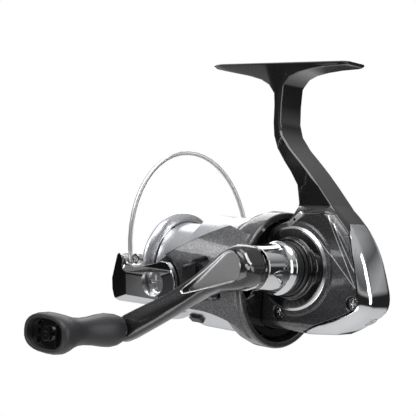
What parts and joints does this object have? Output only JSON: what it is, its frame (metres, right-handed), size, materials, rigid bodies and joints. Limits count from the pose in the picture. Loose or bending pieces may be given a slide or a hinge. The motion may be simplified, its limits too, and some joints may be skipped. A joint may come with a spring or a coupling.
{
  "type": "spinning fishing reel",
  "caption": "Fixed-spool fishing reel with a folding bail, a geared crank handle on the left, an oscillating spool and a foot that clamps to a rod",
  "frame": {"origin": "middle of the foot's flat seat, where the reel meets the rod", "axes": "+X points forward along the spool axis towards the drag knob, +Y to the handle side, +Z from the reel up into the rod"},
  "size_m": [0.1111, 0.1312, 0.1139],
  "materials": {
    "gunmetal": "graphite-filled nylon under dark grey metallic paint with a fine flake and a clear gloss coat",
    "chrome": "polished bright plating",
    "steel": "bright turned or drawn steel",
    "black_rubber": "black moulded rubber",
    "clutch_steel": "dark ground steel",
    "zinc": "die-cast zinc, satin",
    "white_plastic": "off-white moulded acetal",
    "brass": "machined brass, satin",
    "soft_grip": "dark grey soft-touch rubber, satin",
    "gloss_black": "black gloss",
    "black_plastic": "black moulded plastic, satin",
    "spool_metal": "turned and polished bright silver",
    "drag_felt": "oiled felt and steel, matt",
    "roller_metal": "polished pale gold"
  },
  "bodies": {
    "frame": {"body_frame": "gunmetal", "side_cover": "gunmetal", "side_cover_screws": "steel", "rear_cover": "chrome", "rear_cover_screw": "steel", "front_plate": "steel", "retainer_plate": "steel", "retainer_screws": "steel", "front_bearing": "steel", "rear_bearing": "steel", "drive_bearing_left": "steel", "drive_bearing_right": "steel", "boss_seal": "black_rubber", "roller_clutch": "clutch_steel", "guide_rod": "steel", "oscillation_axle": "steel"},
    "drive": {"drive_gear": "zinc", "handle_shaft": "steel", "handle_flange": "black_rubber", "handle_collar": "chrome", "crank_arm": "chrome", "handle_screw": "chrome", "knob_post": "steel", "knob_screw": "steel"},
    "knob": {"knob_grip": "soft_grip", "knob_cap": "gloss_black"},
    "oscillation": {"oscillation_gear": "white_plastic"},
    "shaft": {"main_shaft": "steel", "oscillation_slider": "zinc", "slider_screw": "steel", "spool_seat": "white_plastic"},
    "spool": {"spool": "spool_metal", "spool_lip_ring": "spool_metal", "line_clip": "black_plastic", "drag_washers": "drag_felt", "drag_snap_ring": "steel"},
    "drag": {"drag_knob": "black_plastic", "drag_spring": "steel"},
    "rotor": {"pinion": "brass", "clutch_sleeve": "steel", "rotor": "gunmetal", "rotor_nut": "steel", "nut_lock": "steel", "arm_cover_left": "black_plastic", "arm_cover_right": "black_plastic", "bail_pivot_screws": "steel", "bail_spring": "steel", "trip_lever": "steel"},
    "bail": {"bail_arm": "chrome", "bail_cam": "black_plastic", "bail_wire": "steel", "wire_clamp": "steel", "roller_screw": "steel"},
    "roller": {"line_roller": "roller_metal"}
  },
  "joints": [
    {"name": "handle_turn", "type": "hinge", "parent": "frame", "child": "drive", "pos_m": [-0.0195, 0, -0.0794], "axis": [0, 1, 0], "continuous": true},
    {"name": "knob_spin", "type": "hinge", "parent": "drive", "child": "knob", "pos_m": [0.02243, 0.077, -0.10663], "axis": [0, 1, 0], "continuous": true},
    {"name": "rotor_spin", "type": "hinge", "parent": "frame", "child": "rotor", "pos_m": [-0.0195, 0, -0.0855], "axis": [1, 0, 0], "continuous": true},
    {"name": "oscillation_turn", "type": "hinge", "parent": "frame", "child": "oscillation", "pos_m": [-0.0343, 0.005, -0.08735], "axis": [0, 1, 0], "continuous": true},
    {"name": "shaft_slide", "type": "slide", "parent": "frame", "child": "shaft", "axis": [1, 0, 0], "range_m": [-0.002, 0.012]},
    {"name": "spool_turn", "type": "hinge", "parent": "shaft", "child": "spool", "pos_m": [0.0305, 0, -0.0855], "axis": [1, 0, 0], "continuous": true},
    {"name": "drag_knob_turn", "type": "hinge", "parent": "shaft", "child": "drag", "pos_m": [0.0505, 0, -0.0855], "axis": [1, 0, 0], "range_deg": [-360, 360]},
    {"name": "bail_open", "type": "hinge", "parent": "rotor", "child": "bail", "pos_m": [0.0299, 0, -0.0855], "axis": [0, 0.9912, -0.1323], "range_deg": [0, 105]},
    {"name": "roller_spin", "type": "hinge", "parent": "bail", "child": "roller", "pos_m": [0.0475, 0.02716, -0.0861], "axis": [0, 0.9912, -0.1323], "continuous": true}
  ],
  "couplings": [
    {"joint": "rotor_spin", "follows": "handle_turn", "ratio": 5.2},
    {"joint": "oscillation_turn", "follows": "handle_turn", "ratio": -0.5}
  ]
}
